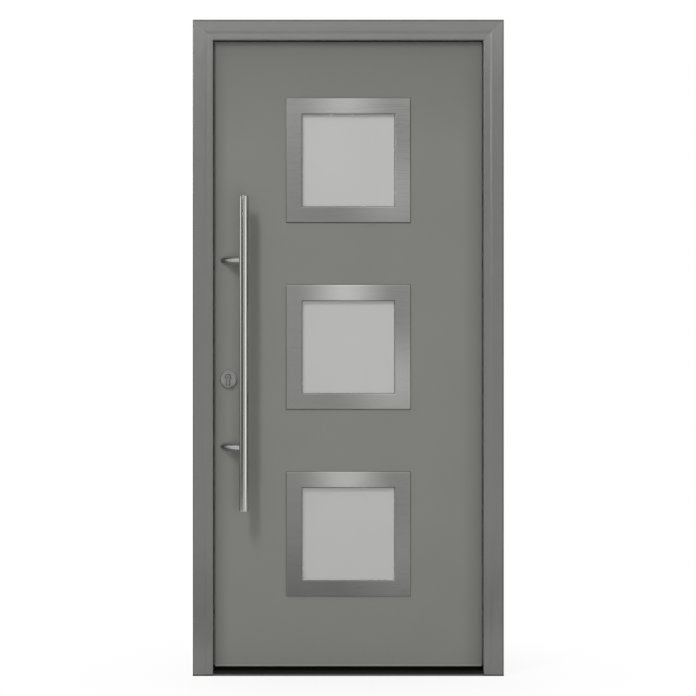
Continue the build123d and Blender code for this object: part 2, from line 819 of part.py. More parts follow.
# Key cylinder: profiled housing with a bore for each plug and a gap in the middle for the cam
plug_bore = plug_diameter + 2 * running_clear
cam_gap_drop = cam_reach + cam_sweep_clear
with BuildPart() as lock_cylinder:
    with BuildSketch(facing(cylinder_back)):
        with Locations((lock_x, cylinder_height)):
            add(cylinder_outline(0))
            Circle(plug_bore / 2, mode=Mode.SUBTRACT)
    extrude(amount=cylinder_back - cylinder_front)
    with BuildSketch(facing(cam_back)):
        with Locations((lock_x, cylinder_height - cam_gap_drop)):
            Rectangle(profile_diameter, cam_gap_drop + profile_diameter, align=(Align.CENTER, Align.MIN))
    extrude(amount=cam_width, mode=Mode.SUBTRACT)
save(lock_cylinder, "lock_cylinder")

# Plugs: the outer one has the keyway and turns with the cam, the inner one stands still
with BuildPart() as cylinder_plug:
    with BuildSketch(facing(cam_front)):
        with Locations((lock_x, cylinder_height)):
            Circle(plug_diameter / 2)
    extrude(amount=cam_front - cylinder_front)
    with BuildSketch(facing(cylinder_front + keyway_depth)):
        with Locations((lock_x, cylinder_height)):
            Rectangle(keyway_width, keyway_height)
    extrude(amount=keyway_depth, mode=Mode.SUBTRACT)
save(cylinder_plug, "cylinder_plug")

with BuildPart() as inner_plug:
    with BuildSketch(facing(cylinder_back)):
        with Locations((lock_x, cylinder_height)):
            Circle(plug_diameter / 2)
    extrude(amount=cylinder_back - cam_back)
    with BuildSketch(facing(cylinder_back)):
        with Locations((lock_x, cylinder_height)):
            Rectangle(keyway_width, keyway_height)
    extrude(amount=keyway_depth, mode=Mode.SUBTRACT)
save(inner_plug, "inner_plug")

with BuildPart() as cylinder_cam:
    with BuildSketch(facing(cam_back - cam_clear)):
        with Locations((lock_x, cylinder_height)):
            Circle(cam_diameter / 2)
            Rectangle(cam_tongue_width, cam_reach, align=(Align.CENTER, Align.MAX))
            Circle(cam_reach, mode=Mode.INTERSECT)
    extrude(amount=cam_width - cam_clear)
save(cylinder_cam, "cylinder_cam")

# Lock case: sheet-steel box behind the faceplate, open towards the bolts
case_low = cylinder_height - case_below_axis
case_top = follower_height + case_above_follower
case_end = lock_x + case_behind_axis
with BuildPart() as lock_case:
    with BuildSketch(facing(lock_y + case_thickness / 2)):
        with Locations((case_x, case_low)):
            Rectangle(case_end - case_x, case_top - case_low, align=Align.MIN)
    extrude(amount=case_thickness)
    with BuildSketch(facing(lock_y + case_thickness / 2 - case_wall)):
        with Locations((case_x, case_low + case_wall)):
            Rectangle(case_end - case_x - case_wall, case_top - case_low - 2 * case_wall, align=Align.MIN)
    extrude(amount=case_thickness - 2 * case_wall, mode=Mode.SUBTRACT)
    with BuildSketch(facing(lock_y + case_thickness / 2)):
        with Locations((lock_x, cylinder_height)):
            add(cylinder_outline(fit_clear))
        with Locations((lock_x, follower_height)):
            Circle(hub_diameter / 2 + running_clear)
    extrude(amount=case_thickness, mode=Mode.SUBTRACT)
save(lock_case, "lock_case")

# Auxiliary cases: small boxes for the upper and lower side bolts
with BuildPart() as auxiliary_lock_cases:
    for height in side_bolt_centres:
        with BuildSketch(facing(lock_y + case_thickness / 2)):
            with Locations((case_x, height)):
                Rectangle(side_case_depth, side_case_height, align=(Align.MIN, Align.CENTER))
        extrude(amount=case_thickness)
        with BuildSketch(facing(lock_y + case_thickness / 2 - case_wall)):
            with Locations((case_x, height)):
                Rectangle(
                    side_case_depth - case_wall,
                    side_case_height - 2 * case_wall,
                    align=(Align.MIN, Align.CENTER),
                )
        extrude(amount=case_thickness - 2 * case_wall, mode=Mode.SUBTRACT)
save(auxiliary_lock_cases, "auxiliary_lock_cases")

# Faceplate: long steel strip let into the edge of the lock stile
with BuildPart() as lock_faceplate:
    with BuildSketch(edge_plane(faceplate_thickness - leaf_in_x)):
        with Locations((0, faceplate_middle)):
            SlotOverall(faceplate_length, faceplate_width, rotation=90)
        add(bolt_slots(slot_clear), mode=Mode.SUBTRACT)
    extrude(amount=faceplate_thickness)
save(lock_faceplate, "lock_faceplate")

# Drive rod: flat steel strip behind the faceplate, slotted round the bolts, that links the cases
rod_low = side_bolt_centres[0] - rod_overrun
rod_top = side_bolt_centres[1] + rod_overrun
with BuildPart() as drive_rod:
    with BuildSketch(edge_plane(rod_x + rod_thickness)):
        with Locations((0, (rod_low + rod_top) / 2)):
            Rectangle(rod_width, rod_top - rod_low)
        add(bolt_slots(slot_clear, rod_travel), mode=Mode.SUBTRACT)
    extrude(amount=rod_thickness)
save(drive_rod, "drive_rod")

# Deadbolt and side bolts: steel bars, flush with the faceplate when unlocked
with BuildPart() as deadbolt:
    with BuildSketch(edge_plane(deadbolt_length - leaf_in_x)):
        with Locations((0, deadbolt_height_centre)):
            Rectangle(bolt_thickness, deadbolt_height)
    extrude(amount=deadbolt_length)
save(deadbolt, "deadbolt")

with BuildPart() as side_bolts:
    with BuildSketch(edge_plane(side_bolt_length - leaf_in_x)):
        with Locations(*[(0, height) for height in side_bolt_centres]):
            Rectangle(bolt_thickness, side_bolt_height)
    extrude(amount=side_bolt_length)
save(side_bolts, "side_bolts")

# Latch bolt: bevelled head, and a tail with a lug behind the follower's arm
latch_tip = -leaf_in_x - latch_reach
latch_low = latch_height_centre - latch_height / 2
latch_top = latch_height_centre + latch_height / 2
head_end = latch_head_length - leaf_in_x
tail_low = follower_height + arm_reach + arm_clear
lug_start = lock_x + arm_width / 2 + lug_clear
with BuildPart() as latch_bolt:
    with BuildSketch(facing(lock_y + bolt_thickness / 2)):
        with BuildLine():
            Polyline(
                (latch_tip, latch_low),
                (head_end, latch_low),
                (head_end, tail_low),
                (lug_start, tail_low),
                (lug_start, tail_low - lug_drop),
                (lug_start + lug_width, tail_low - lug_drop),
                (lug_start + lug_width, latch_top),
                (latch_tip, latch_top),
                close=True,
            )
        make_face()
    extrude(amount=bolt_thickness)
    with BuildSketch(Plane.XY.offset(latch_low)):
        with BuildLine():
            Polyline(
                (latch_tip, lock_y - bolt_thickness / 2),
                (latch_tip, lock_y + bolt_thickness / 2 - latch_nose_flat),
                (latch_tip + latch_nose_run, lock_y - bolt_thickness / 2),
                close=True,
            )
        make_face()
    extrude(amount=latch_height, mode=Mode.SUBTRACT)
save(latch_bolt, "latch_bolt")

# Follower: hub that runs in the lock case, with the arm that draws the latch
arm_thickness = bolt_thickness
square_hole = spindle_width + 2 * spindle_fit
with BuildPart() as follower:
    with BuildSketch(facing(lock_y + case_thickness / 2)):
        with Locations((lock_x, follower_height)):
            Circle(hub_diameter / 2)
    extrude(amount=case_thickness)
    with BuildSketch(facing(lock_y + arm_thickness / 2)):
        with Locations((lock_x, follower_height)):
            Rectangle(arm_width, arm_reach, align=(Align.CENTER, Align.MIN))
    extrude(amount=arm_thickness)
    with BuildSketch(facing(lock_y + case_thickness / 2)):
        with Locations((lock_x, follower_height)):
            Rectangle(square_hole, square_hole)
    extrude(amount=case_thickness, mode=Mode.SUBTRACT)
save(follower, "follower")

# Spindle: square bar from the follower into the lever's neck
spindle_start = lock_y - case_thickness / 2 - spindle_overrun
with BuildPart() as lever_spindle:
    with BuildSketch(facing(lever_start + spindle_grip)):
        with Locations((lock_x, follower_height)):
            Rectangle(spindle_width, spindle_width)
    extrude(amount=lever_start + spindle_grip - spindle_start)
save(lever_spindle, "lever_spindle")

# Lever: round bar bent once, its neck bored square for the spindle
with BuildPart() as lever_handle:
    with BuildLine():
        FilletPolyline(
            (lock_x, lever_start, follower_height),
            (lock_x, lever_y, follower_height),
            (lock_x + lever_reach, lever_y, follower_height),
            radius=lever_bend,
        )
    with BuildSketch(facing(lever_start)):
        with Locations((lock_x, follower_height)):
            Circle(lever_diameter / 2)
    sweep()
    chamfer(lever_handle.faces().sort_by(Axis.X)[-1].edges(), lever_end_edge)
    with BuildSketch(facing(lever_start + spindle_grip)):
        with Locations((lock_x, follower_height)):
            Rectangle(square_hole, square_hole)
    extrude(amount=spindle_grip, mode=Mode.SUBTRACT)
save(lever_handle, "lever_handle")


def hinge_outline(side):
    """Knuckle with the arm that joins it to its plate; side 1 is the frame's half."""
    arm_end = side * (hinge_plate_start + hinge_arm_run)
    shoulder = hinge_shoulder_share * barrel_diameter / 2
    with BuildSketch() as outline:
        with Locations((hinge_x, hinge_y)):
            Circle(barrel_diameter / 2)
        with BuildLine():
            Polyline(
                (hinge_x, hinge_y),
                (hinge_x + side * hinge_plate_start, back),
                (hinge_x + arm_end, back),
                (hinge_x + arm_end, back + hinge_plate_thickness),
                (hinge_x + side * shoulder, hinge_y + shoulder),
                close=True,
            )
        make_face()
    return outline.sketch


# Hinges: the frame's half has the two end knuckles, the leaf's half the long middle one
pin_bore = pin_diameter + 2 * running_clear
leaf_knuckle = hinge_length - 2 * end_knuckle - 2 * knuckle_gap
for name, height in hinge_heights.items():
    hinge_low = height - hinge_length / 2
    halves = (
        ("frame", 1, ((hinge_low, end_knuckle), (height + hinge_length / 2 - end_knuckle, end_knuckle))),
        ("leaf", -1, ((hinge_low + end_knuckle + knuckle_gap, leaf_knuckle),)),
    )
    for owner, side, knuckles in halves:
        with BuildPart() as hinge_half:
            with BuildSketch(Plane.XY.offset(hinge_low)):
                with Locations((hinge_x + side * (hinge_plate_start + hinge_plate_width / 2), back)):
                    Rectangle(hinge_plate_width, hinge_plate_thickness, align=(Align.CENTER, Align.MIN))
            extrude(amount=hinge_length)
            for knuckle_low, knuckle_length in knuckles:
                with BuildSketch(Plane.XY.offset(knuckle_low)):
                    add(hinge_outline(side))
                extrude(amount=knuckle_length)
            with BuildSketch(Plane.XY.offset(hinge_low)):
                with Locations((hinge_x, hinge_y)):
                    Circle(pin_bore / 2)
            extrude(amount=hinge_length, mode=Mode.SUBTRACT)
        save(hinge_half, f"{name}_hinge_{owner}_half")

# Hinge pins: ground pins with a round head on the top knuckle
with BuildPart() as hinge_pins:
    for height in hinge_heights.values():
        with BuildSketch(Plane.XY.offset(height - hinge_length / 2)):
            with Locations((hinge_x, hinge_y)):
                Circle(pin_diameter / 2)
        extrude(amount=hinge_length)
        with BuildSketch(Plane.XY.offset(height + hinge_length / 2)):
            with Locations((hinge_x, hinge_y)):
                Circle(barrel_diameter / 2)
        extrude(amount=pin_head_height)
        chamfer(hinge_pins.faces().sort_by(Axis.Z)[-1].edges(), pin_head_edge)
save(hinge_pins, "hinge_pins")
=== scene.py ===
import bmesh
import bpy
from math import asin, cos, pi, radians
from mathutils import Matrix, Vector


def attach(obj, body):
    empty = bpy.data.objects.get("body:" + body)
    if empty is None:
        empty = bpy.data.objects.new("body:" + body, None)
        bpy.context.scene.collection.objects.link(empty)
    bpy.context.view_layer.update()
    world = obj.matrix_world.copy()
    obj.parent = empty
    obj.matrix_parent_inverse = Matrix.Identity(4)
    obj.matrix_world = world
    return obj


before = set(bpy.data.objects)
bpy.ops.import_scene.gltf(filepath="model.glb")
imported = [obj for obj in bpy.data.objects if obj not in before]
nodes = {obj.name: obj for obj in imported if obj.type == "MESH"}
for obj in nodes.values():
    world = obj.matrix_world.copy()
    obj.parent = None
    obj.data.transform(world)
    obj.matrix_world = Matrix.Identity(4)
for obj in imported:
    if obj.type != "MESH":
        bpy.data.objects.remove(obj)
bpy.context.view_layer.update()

# Studio surround: white to the camera and through glass, and a softer even light on the door and in its
# reflections. Standard view, so that a colour shows about as it is written.
WHITE = (1.0, 1.0, 1.0, 1.0)
SURROUND_LIGHT = 0.50
bpy.context.scene.view_settings.view_transform = "Standard"
surround = bpy.data.worlds.new("white_surround")
surround.use_nodes = True
bpy.context.scene.world = surround


def seen_directly(tree):
    """One for camera and see-through rays, nought for the rays that light a surface or mirror in it."""
    path = tree.nodes.new("ShaderNodeLightPath")
    either = tree.nodes.new("ShaderNodeMath")
    either.operation = "MAXIMUM"
    tree.links.new(path.outputs["Is Camera Ray"], either.inputs[0])
    tree.links.new(path.outputs["Is Transmission Ray"], either.inputs[1])
    return either.outputs[0]


tree = surround.node_tree
lighting = tree.nodes["Background"]
lighting.inputs["Color"].default_value = WHITE
lighting.inputs["Strength"].default_value = SURROUND_LIGHT
backdrop = tree.nodes.new("ShaderNodeBackground")
backdrop.inputs["Color"].default_value = WHITE
backdrop.inputs["Strength"].default_value = 1.0
choice = tree.nodes.new("ShaderNodeMixShader")
tree.links.new(seen_directly(tree), choice.inputs["Fac"])
tree.links.new(lighting.outputs[0], choice.inputs[1])
tree.links.new(backdrop.outputs[0], choice.inputs[2])
tree.links.new(choice.outputs[0], tree.nodes["World Output"].inputs["Surface"])

# Floor: a wide pale disc under the frame, matt near the door so that it takes the door's soft shadow,
# and fading into the white surround further out.
FLOOR_RADIUS = 9.0
FLOOR_DROP = 0.0004
FLOOR_TONE = (0.82, 0.82, 0.82, 1.0)
SHADOW_REACH = 1.1
WHITENESS_AT_DOOR = 0.80


def piece_from(shape, name):
    """Object with this mesh, at the origin."""
    mesh = bpy.data.meshes.new(name)
    shape.to_mesh(mesh)
    shape.free()
    piece = bpy.data.objects.new(name, mesh)
    bpy.context.scene.collection.objects.link(piece)
    return piece


shape = bmesh.new()
bmesh.ops.create_circle(shape, cap_ends=True, segments=96, radius=FLOOR_RADIUS)
bmesh.ops.translate(shape, vec=(0, 0, -FLOOR_DROP), verts=shape.verts)
floor = piece_from(shape, "studio_floor")
floor_finish = bpy.data.materials.new("pale_floor")
floor_finish.use_nodes = True
tree = floor_finish.node_tree
tree.nodes.remove(tree.nodes["Principled BSDF"])
matt = tree.nodes.new("ShaderNodeBsdfDiffuse")
matt.inputs["Color"].default_value = FLOOR_TONE
glow = tree.nodes.new("ShaderNodeEmission")
glow.inputs["Strength"].default_value = 1.0
place = tree.nodes.new("ShaderNodeTexCoord")
distance = tree.nodes.new("ShaderNodeVectorMath")
distance.operation = "LENGTH"
tree.links.new(place.outputs["Object"], distance.inputs[0])
fade = tree.nodes.new("ShaderNodeMapRange")
fade.interpolation_type = "SMOOTHSTEP"
fade.inputs["From Min"].default_value = 0.0
fade.inputs["From Max"].default_value = SHADOW_REACH
fade.inputs["To Min"].default_value = WHITENESS_AT_DOOR
fade.inputs["To Max"].default_value = 1.0
tree.links.new(distance.outputs["Value"], fade.inputs["Value"])
amount = tree.nodes.new("ShaderNodeMath")
amount.operation = "MULTIPLY"
tree.links.new(fade.outputs["Result"], amount.inputs[0])
tree.links.new(seen_directly(tree), amount.inputs[1])
blend = tree.nodes.new("ShaderNodeMixShader")
tree.links.new(amount.outputs[0], blend.inputs["Fac"])
tree.links.new(matt.outputs[0], blend.inputs[1])
tree.links.new(glow.outputs[0], blend.inputs[2])
tree.links.new(blend.outputs[0], tree.nodes["Material Output"].inputs["Surface"])
floor.data.materials.append(floor_finish)

# Lamps: a tall softbox far off, high on the left, for the shadows that fall to the right of the pull bar
# and under its brackets, a weaker square one low in front that evens out the light, and one behind the
# door for its inner side.
LAMP_AIM = Vector((0.0, 0.0, 1.05))


def softbox(name, place, width, height, power):
    """Area lamp that faces the middle of the door."""
    lamp = bpy.data.lights.new(name, "AREA")
    lamp.shape = "RECTANGLE"
    lamp.size = width
    lamp.size_y = height
    lamp.energy = power
    stand = bpy.data.objects.new(name, lamp)
    stand.location = place
    stand.rotation_euler = (LAMP_AIM - Vector(place)).to_track_quat("-Z", "Y").to_euler()
    stand.visible_transmission = False
    bpy.context.scene.collection.objects.link(stand)
    return stand


softbox("key_softbox", place=(-2.73, -4.72, 6.90), width=1.1, height=2.8, power=320.0)
fill = softbox("fill_softbox", place=(0.2, -1.9, 0.35), width=1.2, height=1.2, power=9.0)
fill.visible_glossy = False
softbox("rear_softbox", place=(-0.8, 4.6, 2.6), width=1.6, height=1.6, power=85.0)

# Reflection cards: curved boards on stands round the pull bar, seen only in mirrored light. They draw the
# bright and dark stripes down the bar, brighten the head of the frame and darken the foot of the door.


def corners_of(name):
    """Low and high corner of a piece of the door."""
    corners = nodes[name].bound_box
    return Vector(corners[0]), Vector(corners[6])


def middle_of(name):
    """Middle of a piece of the door."""
    low, high = corners_of(name)
    return (low + high) / 2


def ramp(material, axis, start, end, low=0.0, high=1.0):
    """From a low to a high value along an axis of the door, between two places."""
    tree = material.node_tree
    place = tree.nodes.new("ShaderNodeTexCoord")
    parts = tree.nodes.new("ShaderNodeSeparateXYZ")
    rise = tree.nodes.new("ShaderNodeMapRange")
    rise.inputs["From Min"].default_value = start
    rise.inputs["From Max"].default_value = end
    rise.inputs["To Min"].default_value = low
    rise.inputs["To Max"].default_value = high
    tree.links.new(place.outputs["Object"], parts.inputs[0])
    tree.links.new(parts.outputs[axis], rise.inputs["Value"])
    return rise.outputs["Result"]


CARD_AXIS = Vector((*middle_of("pull_bar").xy, 0.0))


def card(name, bearings, near, far, tones):
    """Board between two bearings in degrees and two edges, each with its distance, height and tone."""
    start, end = bearings
    shape = bmesh.new()
    one, other = (shape.verts.new(CARD_AXIS + Vector((0.0, -away, up))) for away, up in (near, far))
    bmesh.ops.rotate(
        shape, cent=CARD_AXIS, matrix=Matrix.Rotation(radians(start), 3, "Z"), verts=shape.verts
    )
    bmesh.ops.spin(
        shape,
        geom=[one, other, shape.edges.new((one, other))],
        cent=CARD_AXIS,
        axis=(0, 0, 1),
        angle=radians(end - start),
        steps=8,
    )
    board = piece_from(shape, name)
    paper = bpy.data.materials.new(name)
    paper.use_nodes = True
    tree = paper.node_tree
    tree.nodes.remove(tree.nodes["Principled BSDF"])
    glow = tree.nodes.new("ShaderNodeEmission")
    tree.links.new(ramp(paper, "Z", near[1], far[1], *tones), glow.inputs["Strength"])
    tree.links.new(glow.outputs[0], tree.nodes["Material Output"].inputs["Surface"])
    board.data.materials.append(paper)
    board.visible_camera = False
    board.visible_diffuse = False
    board.visible_transmission = False
    board.visible_shadow = False


card("left_pale_card", bearings=(-112.0, -72.0), near=(5.0, 0.1), far=(5.0, 2.0), tones=(0.1, 1.3))
card("left_dark_card", bearings=(-66.0, -22.0), near=(5.0, 0.1), far=(5.0, 2.0), tones=(0.10, 0.10))
card("right_pale_card", bearings=(22.0, 54.0), near=(5.0, 0.1), far=(5.0, 2.0), tones=(1.35, 1.35))
card("right_dark_card", bearings=(62.0, 98.0), near=(5.0, 0.1), far=(5.0, 2.0), tones=(0.12, 0.12))
card("low_dark_card", bearings=(-25.0, 40.0), near=(0.6, 0.01), far=(2.9, 0.02), tones=(0.10, 0.10))
card("high_pale_card", bearings=(-30.0, 45.0), near=(2.6, 2.55), far=(2.0, 4.0), tones=(2.4, 2.6))
card("corner_pale_card", bearings=(20.0, 50.0), near=(2.7, 2.35), far=(2.7, 3.2), tones=(1.2, 2.6))
card("jamb_pale_card", bearings=(-31.0, -18.0), near=(8.0, 2.5), far=(8.0, 4.2), tones=(0.0, 30.0))

# Camera: straight in front of the door at half its height, with a long lens and far enough off for an
# almost flat view.
CAMERA_PLACE = (-0.001, -6.54, 1.0542)
SENSOR_WIDTH = 36.0
LENS_LENGTH = 104.6
view = bpy.data.cameras.new("front_view")
view.sensor_width = SENSOR_WIDTH
view.lens = LENS_LENGTH
camera = bpy.data.objects.new("front_view", view)
camera.location = CAMERA_PLACE
camera.rotation_euler = (pi / 2, 0.0, 0.0)
bpy.context.scene.collection.objects.link(camera)
bpy.context.scene.camera = camera

# Frame shells: hollow aluminium extrusions, mitred at the top corners and powder coated in a satin
# neutral grey. The coat has a fine orange peel, a faint cloudiness and a darker line of painted shade along
# the outer edges. The head is duller, and painted paler as a painted highlight of the light from above.


def shader_of(material):
    """The shader node of a finish."""
    return material.node_tree.nodes["Principled BSDF"]


def new_finish(name, colour, roughness, metallic=0.0, mirror=0.5):
    """Material with its shader set to one colour and gloss."""
    material = bpy.data.materials.new(name)
    material.use_nodes = True
    shader = shader_of(material)
    shader.inputs["Base Color"].default_value = (*colour, 1.0)
    shader.inputs["Roughness"].default_value = roughness
    shader.inputs["Metallic"].default_value = metallic
    shader.inputs["Specular IOR Level"].default_value = mirror
    return material


def grain(material, scale, stretch=(1.0, 1.0, 1.0), detail=3.0):
    """Noise in the piece's own place, stretched along the grain."""
    tree = material.node_tree
    place = tree.nodes.new("ShaderNodeTexCoord")
    along = tree.nodes.new("ShaderNodeMapping")
    along.inputs["Scale"].default_value = stretch
    noise = tree.nodes.new("ShaderNodeTexNoise")
    noise.inputs["Scale"].default_value = scale
    noise.inputs["Detail"].default_value = detail
    tree.links.new(place.outputs["Object"], along.inputs["Vector"])
    tree.links.new(along.outputs["Vector"], noise.inputs["Vector"])
    return noise.outputs["Fac"]


def vary_colour(material, factor, darker, lighter):
    """Colour between two tones, by a noise."""
    tree = material.node_tree
    tones = tree.nodes.new("ShaderNodeMix")
    tones.data_type = "RGBA"
    tones.inputs["A"].default_value = (*darker, 1.0)
    tones.inputs["B"].default_value = (*lighter, 1.0)
    tree.links.new(factor, tones.inputs["Factor"])
    tree.links.new(tones.outputs["Result"], shader_of(material).inputs["Base Color"])


def vary_gloss(material, factor, smoothest, roughest):
    """Roughness between two values, by a noise."""
    tree = material.node_tree
    gloss = tree.nodes.new("ShaderNodeMapRange")
    gloss.inputs["To Min"].default_value = smoothest
    gloss.inputs["To Max"].default_value = roughest
    tree.links.new(factor, gloss.inputs["Value"])
    tree.links.new(gloss.outputs["Result"], shader_of(material).inputs["Roughness"])


def emboss(material, height, depth, strength=1.0):
    """Bump of a given depth in metres."""
    tree = material.node_tree
    bump = tree.nodes.new("ShaderNodeBump")
    bump.inputs["Strength"].default_value = strength
    bump.inputs["Distance"].default_value = depth
    tree.links.new(height, bump.inputs["Height"])
    tree.links.new(bump.outputs["Normal"], shader_of(material).inputs["Normal"])


def mix_tone(material, factor, tone):
    """Mix a tone into the colour that a finish has so far."""
    tree = material.node_tree
    colour = shader_of(material).inputs["Base Color"]
    both = tree.nodes.new("ShaderNodeMix")
    both.data_type = "RGBA"
    tree.links.new(colour.links[0].from_socket, both.inputs["A"])
    both.inputs["B"].default_value = (*tone, 1.0)
    tree.links.new(factor, both.inputs["Factor"])
    tree.links.new(both.outputs["Result"], colour)


def shades(colour, spread):
    """A darker and a lighter tone of one colour."""
    return [tuple(channel * (1.0 + sign * spread) for channel in colour) for sign in (-1, 1)]


def powder_coat(name, colour, roughness, mirror):
    """Powder coat: cloudy colour, orange peel, uneven satin gloss."""
    cloudiness = 0.05
    unevenness = 0.06
    paint = new_finish(name, colour, roughness, mirror=mirror)
    vary_colour(paint, grain(paint, 5.0), *shades(colour, cloudiness))
    vary_gloss(paint, grain(paint, 40.0), roughness - unevenness, roughness + unevenness)
    emboss(paint, grain(paint, 700.0), depth=0.00012, strength=0.35)
    return paint


def finish_nodes(material, *names):
    """Give the named pieces this finish."""
    for name in names:
        slots = nodes[name].data.materials
        slots.clear()
        slots.append(material)


# Painted shade: a thin darker band is painted along the frame's outer edges.
EDGE_PAINTED_SHADE_TONE = (0.070, 0.071, 0.069)
head_low, head_high = corners_of("head_outer")
painted_edge_shade = (
    ("X", head_low.x + 0.0045, head_low.x + 0.0030),
    ("X", head_high.x - 0.0060, head_high.x - 0.0045),
    ("Z", head_high.z - 0.0080, head_high.z - 0.0010),
)
jamb_paint = powder_coat("jamb_paint", (0.136, 0.137, 0.133), roughness=0.21, mirror=1.0)
# The head's coat is painted paler than the jambs', a painted highlight of the light from above.
lit_head_paint = powder_coat("lit_head_paint", (0.178, 0.179, 0.175), roughness=0.35, mirror=0.3)
for paint in (jamb_paint, lit_head_paint):
    for axis, start, end in painted_edge_shade:
        mix_tone(paint, ramp(paint, axis, start, end), EDGE_PAINTED_SHADE_TONE)
finish_nodes(jamb_paint, "left_jamb_outer", "right_jamb_outer", "left_jamb_inner", "right_jamb_inner")
finish_nodes(lit_head_paint, "head_outer", "head_inner")

# Leaf shell: an outer and an inner aluminium sheet and the hollow bottom rail, in a slightly warmer grey
# powder coat. The sheets are glued and pressed, so the faces are flat and have no fixings. The coat is
# painted darker towards the top and along the edges next to the frame, as painted shade.
LEAF_TOP_PAINTED_SHADE = (0.157, 0.158, 0.149)
LEAF_EDGE_PAINTED_SHADE = (0.146, 0.147, 0.138)
skin_low, skin_high = corners_of("outer_skin")
# Painted shade: darker bands across the top of the leaf and along its side and top edges.
painted_shade_bands = (
    ("Z", skin_high.z - 0.3405, skin_high.z - 0.0205, LEAF_TOP_PAINTED_SHADE),
    ("X", skin_low.x + 0.0455, skin_low.x + 0.0005, LEAF_EDGE_PAINTED_SHADE),
    ("X", skin_high.x - 0.0605, skin_high.x - 0.0005, LEAF_EDGE_PAINTED_SHADE),
    ("Z", skin_high.z - 0.0605, skin_high.z - 0.0005, LEAF_EDGE_PAINTED_SHADE),
)
leaf_paint = powder_coat("leaf_paint", (0.190, 0.191, 0.177), roughness=0.55, mirror=0.1)
for axis, start, end, tone in painted_shade_bands:
    mix_tone(leaf_paint, ramp(leaf_paint, axis, start, end), tone)
finish_nodes(leaf_paint, "outer_skin", "inner_skin", "bottom_rail")

# Leaf edges: stiles and top rail, hollow extrusions of silver anodised aluminium that are mitred and left
# unpainted. Their step shows as a grey line at the bottom of the gap between leaf and frame.
edge_metal = new_finish("anodised_edges", (0.45, 0.45, 0.44), roughness=0.50, metallic=0.2)
drawn_lines = grain(edge_metal, 1.0, stretch=(400.0, 400.0, 2.0))
vary_colour(edge_metal, drawn_lines, (0.42, 0.42, 0.41), (0.48, 0.48, 0.47))
vary_gloss(edge_metal, grain(edge_metal, 60.0), 0.44, 0.56)
finish_nodes(edge_metal, "lock_stile", "hinge_stile", "top_rail")

# Drip bar: a small painted aluminium weather bar along the foot of the leaf, clipped under the outer
# sheet. Its sloping face catches the light as a pale line above the dark threshold.
DRIP_REACH = 0.0026
DRIP_ROOT = 0.0110
DRIP_END_GAP = 0.0010
DRIP_ROUNDING = 0.0003
LEAF_FACE = skin_low.y
LEAF_FOOT = skin_low.z


def bar_across(shape, outline, half_length):
    """Straight bar along X with this outline of depths and heights."""
    corners = [shape.verts.new((-half_length, depth, height)) for depth, height in outline]
    grown = bmesh.ops.extrude_face_region(shape, geom=[shape.faces.new(corners)])
    far = [item for item in grown["geom"] if isinstance(item, bmesh.types.BMVert)]
    bmesh.ops.translate(shape, vec=(2 * half_length, 0, 0), verts=far)
    bmesh.ops.recalc_face_normals(shape, faces=shape.faces)


def soften(shape, width):
    """Round all edges over in two steps."""
    bmesh.ops.bevel(
        shape, geom=shape.edges[:], offset=width, segments=2, profile=0.5, affect="EDGES", material=-1
    )


def dress(shape, name, body, material):
    """New piece of the door: its body and its finish."""
    piece = piece_from(shape, name)
    piece.data.materials.append(material)
    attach(piece, body)


drip_outline = [
    (LEAF_FACE, LEAF_FOOT + 0.0024),
    (LEAF_FACE - DRIP_REACH, LEAF_FOOT - 0.0020),
    (LEAF_FACE - DRIP_REACH, LEAF_FOOT - 0.0044),
    (LEAF_FACE + 0.0004, LEAF_FOOT - 0.0047),
    (LEAF_FACE + DRIP_ROOT, LEAF_FOOT - 0.0030),
    (LEAF_FACE + DRIP_ROOT, LEAF_FOOT - 0.0001),
    (LEAF_FACE, LEAF_FOOT - 0.0001),
]
shape = bmesh.new()
bar_across(shape, drip_outline, skin_high.x - DRIP_END_GAP)
soften(shape, DRIP_ROUNDING)
dress(shape, "drip_bar", "leaf", leaf_paint)

# Foam core: a rigid cream board of closed-cell foam, sawn to fit between the stiles and rails. It is glued
# to both sheets, which makes the leaf stiff and warm.
foam = new_finish("foam", (0.69, 0.60, 0.34), roughness=0.9)
vary_colour(foam, grain(foam, 160.0), (0.60, 0.51, 0.28), (0.74, 0.66, 0.40))
emboss(foam, grain(foam, 420.0), depth=0.0006)
finish_nodes(foam, "leaf_core")

# Rubber: gasket on the frame's step, sweep under the leaf and the rings that bed the glass.
# Extruded black rubber, matt and slightly dusty, joined at the corners.
rubber = new_finish("black_rubber", (0.004, 0.004, 0.004), roughness=0.75, mirror=0.12)
vary_colour(rubber, grain(rubber, 60.0), (0.003, 0.003, 0.003), (0.006, 0.006, 0.006))
vary_gloss(rubber, grain(rubber, 300.0), 0.62, 0.85)
emboss(rubber, grain(rubber, 900.0), depth=0.0001)
finish_nodes(rubber, "frame_gasket", "bottom_seal", "glazing_gaskets")

# Threshold lip: a black rubber strip clipped on the outer face of the threshold's upstand. It is extruded
# with three rounded ribs that shed the water from the leaf.
LIP_BACK = -0.0052
LIP_FRONT = -0.0078
LIP_FOOT = 0.0176
LIP_RIBS = 3
LIP_RIB_PITCH = 0.0034
LIP_FRONT_HEIGHT = 0.0026
LIP_BACK_HEIGHT = 0.0030
LIP_END_GAP = 0.0020
LIP_ROUNDING = 0.0006
OPENING_HALF = corners_of("right_jamb_outer")[0].x
shape = bmesh.new()
for rib in range(LIP_RIBS):
    foot = LIP_FOOT + LIP_RIB_PITCH * rib
    lip_outline = [
        (LIP_BACK, foot),
        (LIP_FRONT, foot),
        (LIP_FRONT, foot + LIP_FRONT_HEIGHT),
        (LIP_BACK, foot + LIP_BACK_HEIGHT),
    ]
    bar_across(shape, lip_outline, OPENING_HALF - LIP_END_GAP)
soften(shape, LIP_ROUNDING)
dress(shape, "threshold_lip", "frame", rubber)

